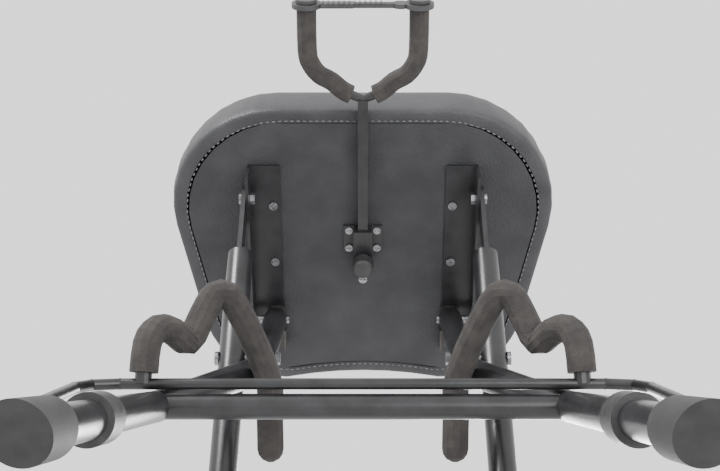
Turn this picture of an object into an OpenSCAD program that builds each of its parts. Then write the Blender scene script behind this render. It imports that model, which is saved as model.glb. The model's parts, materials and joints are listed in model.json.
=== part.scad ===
// Folding stool with a built-in guitar stand. Two crossed leg frames carry a padded seat.
// A neck yoke slides out from under the seat, and a two-armed cradle swings out from the front legs.
// Origin: on the floor, under the middle of the seat. X is to the right, the guitar side faces -Y.

/* [Seat] */
// Height of the seat's underside above the floor
seat_h = 600; // [570:5:630]
// Width of the seat board
board_w = 326; // [300:2:340]
// Front edge of the seat board, forward of the seat clamp
board_front = 112; // [105:1:130]
// Back edge of the seat board, behind the seat clamp
board_back = 146; // [140:1:170]
// Thickness of the seat board
board_t = 10; // [8:1:14]
// Thickness of the cushion over the board
cushion_t = 46; // [35:1:60]
// How far the cushion stands out past the board's edge
cushion_overhang = 13; // [8:1:18]

/* [Frame] */
// Outside diameter of the leg tubes
leg_d = 22; // [20:0.5:24]
// Wall of the leg tubes
leg_wall = 1.5; // [1.2:0.1:2]
// Distance of the rear legs from the middle plane
rear_leg_x = 107; // [106:1:112]
// Distance of the front feet from the middle plane
front_leg_x = 148; // [144:1:156]
// Gap between a front leg and a rear leg where they cross
cross_gap = 2; // [1.5:0.5:3]
// Distance of the front feet forward of the seat clamp
front_foot_y = 204; // [190:2:220]
// Distance of the rear feet behind the seat clamp
rear_foot_y = 212; // [206:1:216]
// Outside diameter of the front crossbar
crossbar_d = 18; // [14:1:20]
// Diameter of the rubber feet
foot_d = 31; // [29:1:36]
// Length of the rubber feet along the leg
foot_len = 46; // [38:1:60]
// Diameter of the pivot bolts
bolt_d = 6; // [5:0.5:7]

/* [Seat brackets] */
// Distance of the bracket's upright flange from the middle plane, to its outer face
bracket_x = 105; // [104:0.5:105.2]
// Width of the bracket's flat flange
bracket_w = 29; // [26:1:32]
// Length of the bracket
bracket_len = 195; // [190:1:205]
// Depth of the bracket's upright flange
bracket_h = 30; // [28:1:36]
// Thickness of the bracket sheet
bracket_t = 2.5; // [2:0.5:3]
// Diameter of the catch pin at the top of each front leg
catch_pin_d = 8; // [7:0.5:9]

/* [Neck yoke] */
// Width of the square slide rod
rod_w = 9; // [8:0.5:10]
// Distance from the seat clamp to the yoke's root
yoke_reach = 139; // [130:1:150]
// Half the width of the yoke, to the middle of its arms
yoke_half_w = 48; // [44:1:52]
// Depth of the yoke, from its root to its tips
yoke_depth = 82; // [70:1:95]
// Diameter of the steel rod inside the yoke
yoke_core_d = 8; // [7:0.5:9]
// Diameter of the yoke's foam sleeves
yoke_foam_d = 17; // [15:0.5:19]
/* [Cradle] */
// Diameter of the cradle's bent rod
cradle_rod_d = 8; // [7:0.5:8]
// Diameter of the steel arms inside the foam
arm_d = 12; // [10:0.5:14]
// Diameter of the arms' foam sleeves
foam_d = 20.5; // [19:0.5:21]
// Distance of the cradle rod's side runs from the middle plane
cradle_side_x = 196; // [190:1:205]

/* [Hidden] */
$fn = 48;
run_gap = 0.05; // radial running clearance of a pin in its hole
part_gap = 0.4; // clearance between bodies that pass each other
overlap = 0.2; // how far a cut runs past the face it opens

// ---- places, as [x, y, z] on the right-hand side ----
rear_dir_y = (rear_foot_y + 45) / (seat_h - 15);
seat_pivot = [rear_leg_x, -45, seat_h - 15];
rear_ankle = [rear_leg_x, rear_foot_y, 0];
cross_drop = 160;
cross = [rear_leg_x, seat_pivot[1] + cross_drop * rear_dir_y, seat_pivot[2] - cross_drop];
inner_leg_x = rear_leg_x - leg_d - cross_gap;
catch_y = 80;
catch_z = seat_h - 18;
catch_at = [inner_leg_x, catch_y, catch_z];
upper_slope = (catch_y - cross[1]) / (catch_z - cross[2]);
bend_drop = 40;
bend_top_z = cross[2] - bend_drop;
bend_top = [inner_leg_x, cross[1] - bend_drop * upper_slope, bend_top_z];
bend_low_z = cross[2] - 141;
bend_low = [front_leg_x - 3, cross[1] - 141 * upper_slope, bend_low_z];
front_ankle = [front_leg_x, -front_foot_y, 0];

// A point at a height z on the lower run of a front leg
function front_leg_at(z) = front_ankle + (bend_low - front_ankle) * z / bend_low_z;
// A point at a height z on a rear leg
function rear_leg_at(z) = seat_pivot + (rear_ankle - seat_pivot) * (seat_pivot[2] - z) / seat_pivot[2];

// The same point on the left-hand side
function left(p) = [-p[0], p[1], p[2]];
function unit(v) = v / norm(v);

// The pressed flat at the top of a rear leg stands just outside the bracket
flat_x = bracket_x + part_gap;
flat_t = 4;

// ---- the cradle ----
collar_z = 122;
collar_d = leg_d + 8;
collar_len = 30;
collar_at = front_leg_at(collar_z);
lug_out = 12;
leg_front_normal = unit([0, -(bend_low[2] - front_ankle[2]), bend_low[1] - front_ankle[1]]);
cradle_bar = bend_low + leg_front_normal * (leg_d / 2 + cradle_rod_d / 2 + part_gap + 0.4);

// Route of a right-hand cradle arm, from its root on the cradle rod to its tip
arm_route = [
    [154, cradle_bar[1], cradle_bar[2]],
    [152, cradle_bar[1] - 22, cradle_bar[2] + 18],
    [146, cradle_bar[1] - 27, cradle_bar[2] + 30],
    [137, cradle_bar[1] - 21, cradle_bar[2] + 37],
    [127, cradle_bar[1] - 8, cradle_bar[2] + 44],
    [118, cradle_bar[1] - 20, cradle_bar[2] + 62],
    [109, cradle_bar[1] - 31, cradle_bar[2] + 73],
    [96, cradle_bar[1] - 22, cradle_bar[2] + 76],
    [73, cradle_bar[1] + 36, cradle_bar[2] + 69],
    [71, cradle_bar[1] + 64, cradle_bar[2] + 55],
    [70, cradle_bar[1] + 84, cradle_bar[2] + 39]
];

// ---- the neck yoke ----
rod_z = seat_h - 10;
yoke_root_y = -yoke_reach;
yoke_tip_y = yoke_root_y - yoke_depth;
yoke_bend = 30;
cap_len = 5;
knob_y = 18;
clamp_y = 2;
clamp_l = 27;
clamp_w = 36;

// ---- shapes ----
// A round bar of radius r from a to b
module bar(a, b, r) {
    v = b - a;
    len = norm(v);
    translate(a)
        rotate([0, acos(v[2] / len), atan2(v[1], v[0])])
            cylinder(h = len, r = r);
}

// A round bar of radius r that bends at each inner point of the route, a touch fuller at the bends
bend_swell = 0.2;
module bent_bar(route, r) {
    for (i = [0:len(route) - 2])
        bar(route[i], route[i + 1], r);
    for (i = [1:len(route) - 2])
        translate(route[i])
            sphere(r = r + bend_swell, $fn = 32);
}

// A smooth curve through the route's points, with n steps between two points
function curve_point(a, b, c, d, t) =
    0.5 * (2 * b + (c - a) * t + (2 * a - 5 * b + 4 * c - d) * t * t + (3 * b - a - 3 * c + d) * t * t * t);
function at_end(route, i) = route[max(0, min(len(route) - 1, i))];
function smooth(route, n) = concat(
    [for (i = [0:len(route) - 2])
        for (j = [0:n - 1])
            curve_point(at_end(route, i - 1), route[i], route[i + 1], at_end(route, i + 2), j / n)],
    [route[len(route) - 1]]
);
function heading(line, i) = unit(at_end(line, i + 1) - at_end(line, i - 1));

// The corners of the round section at point k of a line, pushed on round a dome by the angle lift
sweep_sides = 12;
function cross_of(a, b) = [
    a[1] * b[2] - a[2] * b[1],
    a[2] * b[0] - a[0] * b[2],
    a[0] * b[1] - a[1] * b[0]
];
function section_at(line, k, r, side_axis, lift) =
    let (
        along = heading(line, k),
        u = unit(cross_of(along, side_axis)),
        v = cross_of(u, along)
    )
    [for (a = [0:sweep_sides - 1])
        line[k] + along * r * sin(lift)
            + (u * cos(a * 360 / sweep_sides) + v * sin(a * 360 / sweep_sides)) * r * cos(lift)];
function next_side(a) = (a + 1) % sweep_sides;
function walls(first, rings) = [
    for (low = [first:sweep_sides:first + (rings - 2) * sweep_sides])
        for (a = [0:sweep_sides - 1])
            for (half = [0, 1])
                half == 0
                    ? [low + a, low + next_side(a), low + sweep_sides + next_side(a)]
                    : [low + a, low + sweep_sides + next_side(a), low + sweep_sides + a]
];
function flipped(faces) = [for (f = faces) [f[0], f[2], f[1]]];
function end_cap(first) = [for (a = [0:sweep_sides - 1]) first + a];
function start_cap(first) = [for (a = [sweep_sides - 1:-1:0]) first + a];
function end_ring(outer, inner) = [
    for (a = [0:sweep_sides - 1])
        for (half = [0, 1])
            half == 0
                ? [outer + a, outer + next_side(a), inner + next_side(a)]
                : [outer + a, inner + next_side(a), inner + a]
];

// A solid bar of radius r along points i0 to i1 of a line
module swept(line, i0, i1, r, side_axis) {
    sections = [for (k = [i0:i1]) section_at(line, k, r, side_axis, 0)];
    count = len(sections);
    polyhedron(
        points = [for (ring = sections) each ring],
        faces = concat([start_cap(0)], walls(0, count), [end_cap((count - 1) * sweep_sides)])
    );
}

// A sleeve round such a bar: open at both ends, or closed by a dome one point past the bar
module sleeve(line, i0, i1, r, bore, side_axis, domed) {
    dome_lifts = domed ? [0, 25, 50, 78] : [];
    outer = concat(
        [for (k = [i0:i1]) section_at(line, k, r, side_axis, 0)],
        [for (lift = dome_lifts) section_at(line, i1 + 1, r, side_axis, lift)]
    );
    inner = [for (k = [i0:i1]) section_at(line, k, bore, side_axis, 0)];
    inner_0 = len(outer) * sweep_sides;
    outer_end = (len(outer) - 1) * sweep_sides;
    inner_end = inner_0 + (len(inner) - 1) * sweep_sides;
    far_faces = domed
        ? [end_cap(outer_end), start_cap(inner_end)]
        : end_ring(outer_end, inner_end);
    polyhedron(
        points = [for (ring = concat(outer, inner)) each ring],
        faces = concat(
            flipped(end_ring(0, inner_0)),
            walls(0, len(outer)),
            flipped(walls(inner_0, len(inner))),
            far_faces
        )
    );
}

// Everything on the left-hand side is the right-hand side mirrored
module on_side(side) {
    if (side < 0)
        mirror([1, 0, 0]) children();
    else
        children();
}

// A bolt along X, with a domed head outside and a nut inside
module cross_bolt(at, x0, x1, d) {
    translate([x0, at[1], at[2]])
        rotate([0, 90, 0])
            cylinder(h = x1 - x0, d = d);
    translate([x1, at[1], at[2]])
        rotate([0, 90, 0])
            cylinder(h = 3, d = d * 1.9);
    translate([x0 - 4, at[1], at[2]])
        rotate([0, 90, 0])
            cylinder(h = 4, d = d * 1.8, $fn = 6);
}

module shank(x, y, z, d, len) {
    translate([x, y, z])
        cylinder(h = len, d = d, $fn = 24);
}

// A pan-head screw that points up, its head on the face at z
module pan_screw(x, y, z, d, len) {
    shank(x, y, z, d, len);
    translate([x, y, z - d * 0.5])
        difference() {
            cylinder(h = d * 0.5, d = d * 2, $fn = 24);
            translate([-d * 0.8, -d * 0.12, -overlap])
                cube([d * 1.6, d * 0.24, d * 0.25]);
            translate([-d * 0.12, -d * 0.8, -overlap])
                cube([d * 0.24, d * 1.6, d * 0.25]);
        }
}

// A rubber foot round a leg's end, cut flat at the floor
module foot(ankle, up) {
    along = unit(up - ankle);
    difference() {
        bar(ankle - along * 12, ankle + along * foot_len, foot_d / 2);
        bar(ankle + along * 12, ankle + along * (foot_len + 9), leg_d / 2);
        translate([-300, -400, -100])
            cube([600, 800, 100]);
    }
}

// The thin ring round a leg, on top of its foot
module foot_ring(ankle, up) {
    along = unit(up - ankle);
    difference() {
        bar(ankle + along * foot_len, ankle + along * (foot_len + 4), foot_d / 2 - 1);
        bar(ankle + along * (foot_len - 3), ankle + along * (foot_len + 7), leg_d / 2);
    }
}

// A rear leg: a tube with a pressed flat top that takes the seat's pivot bolt
module rear_leg() {
    top = rear_leg_at(seat_h - 75);
    along = unit(rear_ankle - seat_pivot);
    lean = atan2(along[1], -along[2]);
    start = rear_ankle - along * 12;
    difference() {
        union() {
            bar(start, top, leg_d / 2);
            translate(seat_pivot)
                rotate([lean, 0, 0]) {
                    translate([flat_x - rear_leg_x, -leg_d / 2, -66])
                        cube([flat_t, leg_d, 66]);
                    translate([flat_x - rear_leg_x, 0, 0])
                        rotate([0, 90, 0])
                            cylinder(h = flat_t, d = leg_d);
                }
        }
        bar(start + along * 2, top + along * 2, leg_d / 2 - leg_wall);
        translate([rear_leg_x - 10, seat_pivot[1], seat_pivot[2]])
            rotate([0, 90, 0])
                cylinder(h = 20, d = bolt_d);
        translate([rear_leg_x - 20, cross[1], cross[2]])
            rotate([0, 90, 0])
                cylinder(h = 40, d = bolt_d);
    }
}

// A front leg, kept solid: it runs up from its foot, bends inward and passes inside the rear leg
module front_leg() {
    along = unit(bend_low - front_ankle);
    start = front_ankle + along * 12;
    top = catch_at;
    difference() {
        union() {
            bent_bar([start, bend_low, bend_top, top], leg_d / 2);
            translate(top)
                sphere(r = leg_d / 2 + bend_swell, $fn = 32);
        }
        translate([inner_leg_x - 20, cross[1], cross[2]])
            rotate([0, 90, 0])
                cylinder(h = 60, d = bolt_d + 2 * run_gap);
        translate([inner_leg_x - 20, catch_at[1], catch_at[2]])
            rotate([0, 90, 0])
                cylinder(h = 40, d = catch_pin_d);
    }
}

// The clamped collar on a front leg that carries the cradle's pivot
module leg_collar() {
    along = unit(bend_low - front_ankle);
    difference() {
        union() {
            bar(collar_at - along * collar_len / 2, collar_at + along * collar_len / 2, collar_d / 2);
            translate(collar_at)
                rotate([0, 90, 0])
                    cylinder(h = collar_d / 2 + lug_out, d = 16);
        }
        bar(collar_at - along * collar_len, collar_at + along * collar_len, leg_d / 2);
        translate(collar_at + [collar_d / 2 - 4, 0, 0])
            rotate([0, 90, 0])
                cylinder(h = lug_out + 10, d = bolt_d);
    }
}

// The pin that the cradle's side run turns on
module cradle_pin() {
    x0 = collar_at[0] + collar_d / 2 - 4;
    translate([x0, collar_at[1], collar_at[2]])
        rotate([0, 90, 0])
            cylinder(h = cradle_side_x + 12 - x0, d = bolt_d);
    translate([cradle_side_x + 9, collar_at[1], collar_at[2]])
        rotate([0, 90, 0])
            cylinder(h = 4, d = bolt_d * 1.8);
}

// The cradle's U-shaped rod, with an eye at each end
module cradle_rod() {
    bar_y = cradle_bar[1];
    bar_z = cradle_bar[2];
    down = unit([0, collar_at[1] - bar_y, collar_at[2] - bar_z]);
    corner = 26;
    side = [cradle_side_x, bar_y, bar_z] + down * corner;
    end = [cradle_side_x, collar_at[1], collar_at[2]];
    turn = [cradle_side_x, bar_y, bar_z] - [corner, 0, 0];
    mid = [cradle_side_x - corner * 0.293, bar_y, bar_z] + down * corner * 0.293;
    color("#1c1c1d")
        difference() {
            union() {
                for (s = [-1, 1])
                    on_side(s) {
                        bent_bar([end - down * 4, side, mid, turn], cradle_rod_d / 2);
                        translate(turn)
                            sphere(r = cradle_rod_d / 2 + bend_swell, $fn = 32);
                        translate([cradle_side_x - 6, end[1], end[2]])
                            rotate([0, 90, 0])
                                cylinder(h = 12, d = 15);
                    }
                bar(left(turn), turn, cradle_rod_d / 2);
            }
            for (s = [-1, 1])
                on_side(s)
                    translate([cradle_side_x - 12, end[1], end[2]])
                        rotate([0, 90, 0])
                            cylinder(h = 24, d = bolt_d + 2 * run_gap);
        }
}

// Line of a cradle arm
arm_line = smooth(arm_route, 3);
arm_last = len(arm_line) - 1;
arm_side = [1, 0, 0.35];

// A steel arm of the cradle, standing on the rod
module cradle_arm() {
    difference() {
        swept(arm_line, 0, arm_last - 1, arm_d / 2, arm_side);
        bar([120, cradle_bar[1], cradle_bar[2]], [190, cradle_bar[1], cradle_bar[2]], cradle_rod_d / 2);
    }
}

// The foam sleeve of a cradle arm, closed and rounded at its tip
module cradle_foam() {
    sleeve(arm_line, 1, arm_last - 1, foam_d / 2, arm_d / 2, arm_side, true);
}

// The seat's outline, narrower at the back, grown by g all round
module seat_outline(g) {
    half_w = board_w / 2;
    front_r = 84;
    back_r = 66;
    offset(r = g)
        difference() {
            hull() {
                for (s = [-1, 1]) {
                    translate([s * (half_w - front_r), -board_front + front_r])
                        circle(r = front_r, $fn = 32);
                    translate([s * (half_w - back_r - 22), board_back - back_r])
                        circle(r = back_r, $fn = 32);
                }
            }
            translate([0, board_back + 372])
                circle(r = 380, $fn = 96);
        }
}

module seat_board() {
    color("#26262a")
        difference() {
            translate([0, 0, seat_h])
                linear_extrude(height = board_t)
                    seat_outline(0);
            for (s = [-1, 1])
                on_side(s)
                    for (i = [0:2])
                        shank(screw_x, screw_rows[i], bracket_screw_z(i), 4, 10);
            for (x = [-13, 13])
                for (y = [-9, 9])
                    shank(x, clamp_y + y, seat_h - 3, 3.5, 10);
        }
}

// The height of the face that a bracket screw's head bears on
function bracket_screw_z(i) = seat_h - bracket_t - (i == 2 ? 2.5 : 0);

module cushion() {
    color("#303033")
        translate([0, 0, seat_h])
            difference() {
                linear_extrude(height = board_t + cushion_t)
                    seat_outline(cushion_overhang);
                translate([0, 0, -overlap])
                    linear_extrude(height = board_t + overlap)
                        seat_outline(0);
            }
}

// The open notch in a bracket's flange that drops over the catch pin
module catch_notch() {
    top_r = catch_pin_d / 2 + 0.5;
    deep = catch_z - (seat_h - bracket_h);
    translate([0, catch_y, catch_z])
        rotate([90, 0, 90])
            linear_extrude(height = 2 * bracket_t + 30, center = true)
                union() {
                    circle(r = top_r);
                    polygon([
                        [top_r, 0], [top_r, -deep - 4], [-top_r - 24, -deep - 4],
                        [-top_r - 10, -4], [-top_r * 0.7, top_r * 0.7]
                    ]);
                }
}

bracket_front = -72;

// A seat bracket: a folded sheet with a flat flange on the board and an upright flange
module bracket() {
    difference() {
        union() {
            translate([bracket_x - bracket_w, bracket_front, seat_h - bracket_t])
                cube([bracket_w, bracket_len, bracket_t]);
            translate([bracket_x - bracket_t, bracket_front, seat_h - bracket_h])
                cube([bracket_t, bracket_len, bracket_h]);
        }
        translate([bracket_x - 10, seat_pivot[1], seat_pivot[2]])
            rotate([0, 90, 0])
                cylinder(h = 20, d = bolt_d + 2 * run_gap);
        translate([bracket_x, 0, 0])
            catch_notch();
        for (y = screw_rows)
            translate([screw_x, y, seat_h - bracket_t - overlap])
                cylinder(h = bracket_t + 2 * overlap, d = 4);
    }
}

screw_x = bracket_x - bracket_w + 6.5;
screw_rows = [-32, 26, 88];

// The small plate that stiffens the back of a bracket, with its lip bent down at an angle
module catch_plate() {
    difference() {
        translate([bracket_x - bracket_w - 2, 74, seat_h - bracket_t - 2.5])
            cube([14, 44, 2.5]);
        translate([screw_x, screw_rows[2], seat_h - 10])
            cylinder(h = 10, d = 4);
    }
    translate([bracket_x - bracket_w - 2, 95, seat_h - bracket_t - 12])
        cube([2, 23, 10]);
}

module bracket_screws() {
    color("#3c3c3f")
        for (s = [-1, 1])
            on_side(s)
                for (i = [0:2])
                    pan_screw(screw_x, screw_rows[i], bracket_screw_z(i), 4, 10);
}

// The clamp under the seat: a plate with a channel for the slide rod
module rod_clamp() {
    gap = run_gap;
    color("#202022")
        difference() {
            union() {
                translate([-clamp_w / 2, clamp_y - clamp_l / 2, seat_h - 3])
                    cube([clamp_w, clamp_l, 3]);
                translate([-rod_w / 2 - 4, clamp_y - clamp_l / 2, rod_z - rod_w / 2 - 3])
                    cube([rod_w + 8, clamp_l + 16, seat_h - rod_z + rod_w / 2 + 3]);
            }
            translate([-rod_w / 2 - gap, clamp_y - clamp_l, rod_z - rod_w / 2 - gap])
                cube([rod_w + 2 * gap, clamp_l * 3, rod_w + 2 * gap]);
            for (x = [-13, 13])
                for (y = [-9, 9])
                    translate([x, clamp_y + y, seat_h - 4])
                        cylinder(h = 5, d = 3.5);
            translate([0, knob_y, rod_z - rod_w / 2 - 4])
                cylinder(h = 5, d = 5 + 2 * run_gap);
        }
}

module clamp_screws() {
    color("#4a4a4d")
        for (x = [-13, 13])
            for (y = [-9, 9])
                pan_screw(x, clamp_y + y, seat_h - 3, 3.5, 10);
}

module clamp_knob() {
    top = rod_z - rod_w / 2 - 0.3;
    color("#2a2a2c")
        translate([0, knob_y, 0])
            union() {
                translate([0, 0, top - 6])
                    cylinder(h = 6, d = 5);
                translate([0, 0, top - 19])
                    cylinder(h = 13, d = 18);
                translate([0, 0, top - 21])
                    cylinder(h = 2, d1 = 15, d2 = 18);
                for (i = [0:15])
                    rotate([0, 0, i * 22.5])
                        translate([9, 0, top - 18])
                            cylinder(h = 11, d = 1.6, $fn = 16);
            }
}

module slide_rod() {
    inner_end = 44;
    color("#1a1a1b")
        difference() {
            translate([-rod_w / 2, yoke_root_y, rod_z - rod_w / 2])
                cube([rod_w, inner_end - yoke_root_y, rod_w]);
            swept(yoke_line, 0, 2 * yoke_last, yoke_core_d / 2, [0, 0, 1]);
            translate([0, inner_end - 6, rod_z - rod_w])
                cylinder(h = 2 * rod_w, d = 4);
        }
}

module rod_end_screw() {
    color("#4a4a4d")
        pan_screw(0, 38, rod_z - rod_w / 2, 4, rod_w);
}

// Route of the right half of the yoke, from its root to its tip
yoke_route = concat(
    [[0, yoke_root_y, rod_z], [16, yoke_root_y - 7, rod_z]],
    [for (a = [72:-24:0])
        [yoke_half_w - yoke_bend + yoke_bend * cos(a), yoke_root_y - 15 - yoke_bend * (1 - sin(a)), rod_z]],
    [[yoke_half_w, yoke_tip_y, rod_z]]
);
yoke_right = smooth(yoke_route, 3);
yoke_last = len(yoke_right) - 1;
yoke_line = concat(
    [for (i = [yoke_last:-1:1]) left(yoke_right[i])],
    yoke_right
);

module yoke_core() {
    color("#1a1a1b")
        swept(yoke_line, 0, 2 * yoke_last, yoke_core_d / 2, [0, 0, 1]);
}

module yoke_foam(i0, i1) {
    sleeve(yoke_line, i0, i1, yoke_foam_d / 2, yoke_core_d / 2, [0, 0, 1], false);
}

// The mushroom cap on a yoke tip, with a neck that holds the strap's ring
module yoke_cap() {
    translate([yoke_half_w, yoke_tip_y, rod_z])
        rotate([90, 0, 0]) {
            cylinder(h = cap_len, d = yoke_foam_d * 0.7);
            translate([0, 0, cap_len])
                cylinder(h = 3, d = yoke_foam_d + 1);
        }
}

// The rubber strap that closes the yoke: a ring at each end and a ribbed middle
module neck_strap() {
    mid_y = yoke_tip_y - cap_len / 2;
    color("#39393b")
        translate([0, mid_y, rod_z])
            rotate([90, 0, 0])
                difference() {
                    union() {
                        for (s = [-1, 1])
                            translate([s * yoke_half_w, 0, 0])
                                cylinder(h = cap_len - 1, d = yoke_foam_d + 8, center = true);
                        cube([2 * yoke_half_w - 20, 6, cap_len - 1], center = true);
                        translate([-22, 0, 0])
                            cube([28, 9, cap_len - 1], center = true);
                        translate([32, 0, 0])
                            cylinder(h = cap_len - 1, d = 13, center = true);
                    }
                    for (s = [-1, 1])
                        translate([s * yoke_half_w, 0, 0])
                            cylinder(h = cap_len + 2, d = yoke_foam_d * 0.7, center = true);
                }
}

module rear_leg_left() { color("#242426") on_side(-1) rear_leg(); }
module rear_leg_right() { color("#242426") rear_leg(); }
module rear_foot_left() { color("#1e1e1f") on_side(-1) foot(rear_ankle, seat_pivot); }
module rear_foot_right() { color("#1e1e1f") foot(rear_ankle, seat_pivot); }
module front_leg_left() { color("#242426") on_side(-1) front_leg(); }
module front_leg_right() { color("#242426") front_leg(); }
module front_foot_left() { color("#1e1e1f") on_side(-1) foot(front_ankle, bend_low); }
module front_foot_right() { color("#1e1e1f") foot(front_ankle, bend_low); }
module leg_collar_left() { color("#2e2e30") on_side(-1) leg_collar(); }
module leg_collar_right() { color("#2e2e30") leg_collar(); }
module cradle_arm_left() { color("#1a1a1b") on_side(-1) cradle_arm(); }
module cradle_arm_right() { color("#1a1a1b") cradle_arm(); }
module cradle_foam_left() { color("#343230") on_side(-1) cradle_foam(); }
module cradle_foam_right() { color("#343230") cradle_foam(); }
module bracket_left() { color("#1c1c1e") on_side(-1) bracket(); }
module bracket_right() { color("#1c1c1e") bracket(); }
module catch_plate_left() { color("#3a3836") on_side(-1) catch_plate(); }
module catch_plate_right() { color("#3a3836") catch_plate(); }
module yoke_foam_left() { color("#2a2829") yoke_foam(0, yoke_last - 2); }
module yoke_foam_right() { color("#2a2829") yoke_foam(yoke_last + 2, 2 * yoke_last); }
module yoke_cap_left() { color("#39393b") on_side(-1) yoke_cap(); }
module yoke_cap_right() { color("#39393b") yoke_cap(); }

module rear_crossbar() {
    at = rear_leg_at(90);
    color("#242426")
        difference() {
            bar(left(at), at, crossbar_d / 2);
            for (s = [-1, 1])
                on_side(s)
                    bar(rear_leg_at(30), rear_leg_at(150), leg_d / 2);
        }
}

module front_crossbar() {
    color("#1f1f21")
        difference() {
            bar(left(bend_low), bend_low, crossbar_d / 2);
            for (s = [-1, 1])
                on_side(s)
                    bent_bar([front_leg_at(200), bend_low, bend_top], leg_d / 2);
        }
}

module rear_foot_rings() {
    color("#8c2a2a")
        for (s = [-1, 1])
            on_side(s)
                foot_ring(rear_ankle, seat_pivot);
}

module front_foot_rings() {
    color("#8c2a2a")
        for (s = [-1, 1])
            on_side(s)
                foot_ring(front_ankle, bend_low);
}

// The bolts that the two leg frames cross on
module pivot_bolts() {
    color("#3c3c3f")
        for (s = [-1, 1])
            on_side(s)
                cross_bolt(cross, inner_leg_x - leg_d / 2 - part_gap, rear_leg_x + leg_d / 2, bolt_d);
}

// The bolts that the seat tips up on
module seat_pivot_bolts() {
    color("#3c3c3f")
        for (s = [-1, 1])
            on_side(s)
                cross_bolt(seat_pivot, bracket_x - bracket_t - part_gap, flat_x + flat_t, bolt_d);
}

module cradle_pivot_pins() {
    color("#3c3c3f")
        for (s = [-1, 1])
            on_side(s)
                cradle_pin();
}

module catch_pins() {
    color("#4a4a4d")
        for (s = [-1, 1])
            on_side(s)
                translate([inner_leg_x - leg_d / 2 - 2, catch_y, catch_z])
                    rotate([0, 90, 0])
                        cylinder(h = bracket_x + 6 - inner_leg_x + leg_d / 2 + 2, d = catch_pin_d);
}

rear_leg_left();
rear_leg_right();
rear_crossbar();
rear_foot_left();
rear_foot_right();
rear_foot_rings();
pivot_bolts();
seat_pivot_bolts();
front_leg_left();
front_leg_right();
front_crossbar();
front_foot_left();
front_foot_right();
front_foot_rings();
leg_collar_left();
leg_collar_right();
cradle_pivot_pins();
catch_pins();
cradle_rod();
cradle_arm_left();
cradle_arm_right();
cradle_foam_left();
cradle_foam_right();
seat_board();
cushion();
bracket_left();
bracket_right();
catch_plate_left();
catch_plate_right();
bracket_screws();
rod_clamp();
clamp_screws();
clamp_knob();
slide_rod();
rod_end_screw();
yoke_core();
yoke_foam_left();
yoke_foam_right();
yoke_cap_left();
yoke_cap_right();
neck_strap();
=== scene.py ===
import json
import math
import bpy
import bmesh
from mathutils import Matrix, Vector, noise


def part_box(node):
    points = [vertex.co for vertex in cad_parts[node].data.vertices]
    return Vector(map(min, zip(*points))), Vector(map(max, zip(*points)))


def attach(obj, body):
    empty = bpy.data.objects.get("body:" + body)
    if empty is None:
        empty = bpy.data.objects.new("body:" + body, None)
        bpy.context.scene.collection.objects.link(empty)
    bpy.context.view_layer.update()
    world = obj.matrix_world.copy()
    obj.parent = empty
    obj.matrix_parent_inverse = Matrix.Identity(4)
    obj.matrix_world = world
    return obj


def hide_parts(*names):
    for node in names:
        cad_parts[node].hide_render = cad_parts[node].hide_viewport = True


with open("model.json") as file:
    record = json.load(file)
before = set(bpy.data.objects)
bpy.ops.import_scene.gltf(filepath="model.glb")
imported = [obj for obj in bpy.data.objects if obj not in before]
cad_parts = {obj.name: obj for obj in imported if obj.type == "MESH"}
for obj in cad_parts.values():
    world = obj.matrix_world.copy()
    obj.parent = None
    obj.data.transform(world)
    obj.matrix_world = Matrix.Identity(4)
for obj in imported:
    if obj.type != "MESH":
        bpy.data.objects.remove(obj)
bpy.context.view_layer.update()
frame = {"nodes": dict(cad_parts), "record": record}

# All lengths are in metres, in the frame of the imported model.
nodes = frame["nodes"]


# ---- materials ----
def material(name, low, high, rough, metal, scale, bump, grain=0.0):
    """A procedural surface: two tones of noise, uneven roughness and a fine bump.

    scale is the noise's scale, and grain the scale of a cell pattern that replaces the fine noise bump.
    """
    m = bpy.data.materials.new(name)
    m.use_nodes = True
    tree = m.node_tree
    shader = tree.nodes["Principled BSDF"]
    shader.inputs["Metallic"].default_value = metal
    coords = tree.nodes.new("ShaderNodeTexCoord")
    tone = tree.nodes.new("ShaderNodeTexNoise")
    tone.inputs["Scale"].default_value = scale
    tone.inputs["Detail"].default_value = 6
    ramp = tree.nodes.new("ShaderNodeValToRGB")
    ramp.color_ramp.elements[0].position = 0.35
    ramp.color_ramp.elements[0].color = (*low, 1)
    ramp.color_ramp.elements[1].position = 0.68
    ramp.color_ramp.elements[1].color = (*high, 1)
    wear = tree.nodes.new("ShaderNodeMapRange")
    wear.inputs["To Min"].default_value = max(0.05, rough - 0.08)
    wear.inputs["To Max"].default_value = min(1.0, rough + 0.1)
    tree.links.new(coords.outputs["Object"], tone.inputs["Vector"])
    tree.links.new(tone.outputs["Fac"], ramp.inputs["Fac"])
    tree.links.new(tone.outputs["Fac"], wear.inputs["Value"])
    tree.links.new(ramp.outputs["Color"], shader.inputs["Base Color"])
    tree.links.new(wear.outputs["Result"], shader.inputs["Roughness"])
    fine = tree.nodes.new("ShaderNodeTexVoronoi" if grain else "ShaderNodeTexNoise")
    fine.inputs["Scale"].default_value = grain or scale * 9
    lift = tree.nodes.new("ShaderNodeBump")
    lift.inputs["Strength"].default_value = bump
    lift.inputs["Distance"].default_value = 0.0006
    tree.links.new(coords.outputs["Object"], fine.inputs["Vector"])
    tree.links.new(fine.outputs[0], lift.inputs["Height"])
    tree.links.new(lift.outputs["Normal"], shader.inputs["Normal"])
    return m


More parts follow.
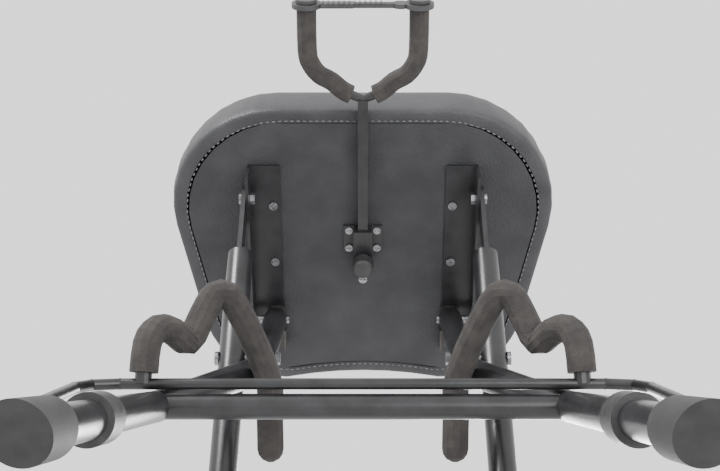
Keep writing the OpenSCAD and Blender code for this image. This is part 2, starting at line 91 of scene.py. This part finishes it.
# One row per material slot: dark tone, light tone, roughness, metallic, noise scale, bump, grain
FINISHES = {
    "frame_steel": ((0.012, 0.012, 0.013), (0.022, 0.022, 0.024), 0.3, 0.0, 60, 0.12),
    "plate_steel": ((0.035, 0.032, 0.03), (0.07, 0.063, 0.058), 0.45, 0.3, 70, 0.15),
    "fastener": ((0.16, 0.16, 0.17), (0.34, 0.34, 0.35), 0.28, 0.9, 180, 0.08),
    "foam": ((0.028, 0.025, 0.024), (0.05, 0.045, 0.042), 0.9, 0.0, 90, 0.5, 900),
    "rubber": ((0.015, 0.015, 0.016), (0.03, 0.03, 0.031), 0.7, 0.0, 80, 0.25),
    "ring_trim": ((0.2, 0.02, 0.022), (0.3, 0.035, 0.035), 0.5, 0.0, 90, 0.1),
    "strap_rubber": ((0.03, 0.03, 0.032), (0.055, 0.055, 0.057), 0.5, 0.0, 80, 0.2),
    "moulded_plastic": ((0.02, 0.02, 0.021), (0.04, 0.04, 0.042), 0.5, 0.0, 120, 0.3),
    "cover": ((0.022, 0.022, 0.025), (0.042, 0.042, 0.046), 0.5, 0.0, 28, 0.5, 520),
    "board": ((0.02, 0.02, 0.023), (0.036, 0.036, 0.04), 0.6, 0.0, 30, 0.5, 480),
    "thread": ((0.10, 0.10, 0.105), (0.19, 0.19, 0.2), 0.8, 0.0, 500, 0.3),
}
looks = {name: material(name, *finish) for name, finish in FINISHES.items()}

for entry in frame["record"]["subparts"]:
    node_materials = nodes[entry["node"]].data.materials
    node_materials.clear()
    node_materials.append(looks[entry["material_slot"]])


# ---- meshes ----
def show_mesh(mesh, look):
    mesh.materials.append(look)
    obj = bpy.data.objects.new(mesh.name, mesh)
    bpy.context.scene.collection.objects.link(obj)
    return obj


def rods(name, spans, radius, look):
    """One mesh of short round rods between pairs of points."""
    bm = bmesh.new()
    for a, b in spans:
        d = b - a
        turn = d.to_track_quat("Z", "Y").to_matrix().to_4x4()
        place = Matrix.Translation((a + b) / 2) @ turn
        bmesh.ops.create_cone(bm, cap_ends=True, segments=8, radius1=radius, radius2=radius,
                              depth=d.length, matrix=place)
    mesh = bpy.data.meshes.new(name)
    bm.to_mesh(mesh)
    bm.free()
    return show_mesh(mesh, look)


# ---- the cushion, lofted from the outline of the CAD solid ----
OUTLINE_POINTS = 360
CORNER_REACH = 6    # how many points away the outline's turn is measured
CORNER_GAIN = 2.2   # how quickly the folds grow with that turn
FOLD_DEPTH = 0.0022
SLACK_DEPTH = 0.0009
SLACK_FROM = 0.03   # the cover is slack above this height
SIDE_MIDDLE = 0.028
SIDE_HALF = 0.03
CROWN = 0.0642      # height of the crown's top above the underside

# The cover's section, as a share of the outline's reach and a height above the underside.
# It runs from the recess over the board, round the underside's edge, up the side and over the crown.
COVER_SECTION = [
    (0.90, 0.0104), (0.902, 0.0102), (0.906, 0.006), (0.91, 0.0003),
    (0.915, 0.0), (0.95, 0.0), (0.975, 0.0002), (0.99, 0.0012), (0.998, 0.004),
    (1.003, 0.009), (1.006, 0.018), (1.006, 0.027), (1.004, 0.036), (0.999, 0.044),
    (0.988, 0.0505), (0.968, 0.0555), (0.94, 0.0585), (0.90, 0.0602), (0.84, 0.0614),
    (0.76, 0.0622), (0.66, 0.0628), (0.54, 0.0633), (0.40, 0.0637), (0.26, 0.064), (0.12, 0.0641),
]

cushion_low, cushion_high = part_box("cushion")
base_z = cushion_low[2]
middle = Vector((0.0, (cushion_low[1] + cushion_high[1]) / 2))


def cushion_outline():
    """Evenly spaced points of the CAD cushion's top edge, measured from its middle."""
    rim = {}
    for v in nodes["cushion"].data.vertices:
        if v.co.z > cushion_high[2] - 1e-5:
            p = Vector((v.co.x, v.co.y)) - middle
            rim[round(math.atan2(p.y, p.x), 5)] = p
    rim = [rim[a] for a in sorted(rim)]
    steps = [(rim[(i + 1) % len(rim)] - rim[i]).length for i in range(len(rim))]
    around = sum(steps)
    points = []
    i = 0
    passed = 0.0
    for k in range(OUTLINE_POINTS):
        want = around * k / OUTLINE_POINTS
        while passed + steps[i] < want:
            passed += steps[i]
            i += 1
        points.append(rim[i].lerp(rim[(i + 1) % len(rim)], (want - passed) / steps[i]))
    return points


def cover_point(outline, n, k, z):
    """Point n of the cover's ring at reach k and height z, with corner folds and a little slack."""
    p = outline[n]
    before = outline[n - CORNER_REACH] - p
    after = p - outline[(n + CORNER_REACH) % OUTLINE_POINTS]
    turn = min(1.0, before.angle(after, 0.0) * CORNER_GAIN)
    side = max(0.0, 1.0 - abs(z - SIDE_MIDDLE) / SIDE_HALF)
    fold = noise.noise(Vector((n * 0.32, z * 22.0, 1.7))) * FOLD_DEPTH * side * turn
    slack = noise.noise(Vector((p.x * k * 16, p.y * k * 16, z * 12))) * SLACK_DEPTH
    q = middle + p * k + p.normalized() * fold
    return Vector((q.x, q.y, base_z + z + (slack if z > SLACK_FROM else 0.0)))


def cushion_cover(outline):
    rings = len(COVER_SECTION)
    ring = range(OUTLINE_POINTS)
    verts = [cover_point(outline, n, k, z) for k, z in COVER_SECTION for n in ring]
    top = len(verts)
    verts.append(Vector((middle.x, middle.y, base_z + CROWN)))
    faces = []
    for low in range(0, (rings - 1) * OUTLINE_POINTS, OUTLINE_POINTS):
        high = low + OUTLINE_POINTS
        for n in ring:
            m = (n + 1) % OUTLINE_POINTS
            faces.append((low + n, low + m, high + m, high + n))
    last = (rings - 1) * OUTLINE_POINTS
    faces += [(last + n, last + (n + 1) % OUTLINE_POINTS, top) for n in ring]
    faces.append(tuple(reversed(ring)))
    mesh = bpy.data.meshes.new("cushion_cover")
    mesh.from_pydata([tuple(v) for v in verts], [], faces)
    mesh.polygons.foreach_set("use_smooth", [True] * len(mesh.polygons))
    return show_mesh(mesh, looks["cover"])


outline = cushion_outline()
cushion = cushion_cover(outline)
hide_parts("cushion")
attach(cushion, "seat")


# ---- the stitched seam on the underside ----
SEAM_REACH = 0.925    # share of the outline's reach
SEAM_DROP = 0.0002
THREAD_RADIUS = 0.0006


def seam_point(n):
    p = middle + outline[n % OUTLINE_POINTS] * SEAM_REACH
    return Vector((p.x, p.y, base_z - SEAM_DROP))


dashes = [(seam_point(n), seam_point(n + 1)) for n in range(0, OUTLINE_POINTS, 2)]
seam = rods("cover_stitches", dashes, THREAD_RADIUS, looks["thread"])
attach(seam, "seat")

# ---- the ribs on the neck strap ----
RIBS = 12
FIRST_RIB_X = -0.034
RIB_PITCH = 0.0045
RIB_HALF = 0.004
RIB_RADIUS = 0.0008

strap_low, strap_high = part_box("neck_strap")
strap_z = (strap_low[2] + strap_high[2]) / 2
ribs = []
for n in range(RIBS):
    x = FIRST_RIB_X + n * RIB_PITCH
    ribs.append((Vector((x, strap_low[1], strap_z - RIB_HALF)), Vector((x, strap_low[1], strap_z + RIB_HALF))))
strap_ribs = rods("strap_ribs", ribs, RIB_RADIUS, looks["strap_rubber"])
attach(strap_ribs, "yoke")

# ---- light and camera ----
LIT_POINT = Vector((0, 0, 0.45))

world = bpy.data.worlds.new("white")
world.use_nodes = True
backdrop = world.node_tree.nodes["Background"]
backdrop.inputs["Color"].default_value = (0.95, 0.95, 0.95, 1)
backdrop.inputs["Strength"].default_value = 1.7
bpy.context.scene.world = world


def area_light(name, at, size, energy):
    lamp = bpy.data.lights.new(name, "AREA")
    lamp.size = size
    lamp.energy = energy
    obj = bpy.data.objects.new(name, lamp)
    obj.location = at
    obj.rotation_euler = (LIT_POINT - Vector(at)).to_track_quat("-Z", "Y").to_euler()
    bpy.context.scene.collection.objects.link(obj)


area_light("key", (-0.9, -1.3, 1.0), 0.5, 30)
area_light("fill", (0.7, -1.1, -0.5), 0.9, 14)
area_light("rim", (0.4, 1.1, 1.3), 0.6, 18)

# The camera stands below the floor's level, in front of the stool, and looks up at the seat
lens = bpy.data.cameras.new("camera")
lens.lens = 61.8
lens.sensor_width = 36
lens.shift_x = -0.004
lens.clip_start = 0.02
camera = bpy.data.objects.new("camera", lens)
camera.matrix_world = Matrix((
    (1, 0, 0, 0),
    (0, -0.895, -0.446, -0.516),
    (0, 0.446, -0.895, -0.4355),
    (0, 0, 0, 1),
))
bpy.context.scene.collection.objects.link(camera)
bpy.context.scene.camera = camera
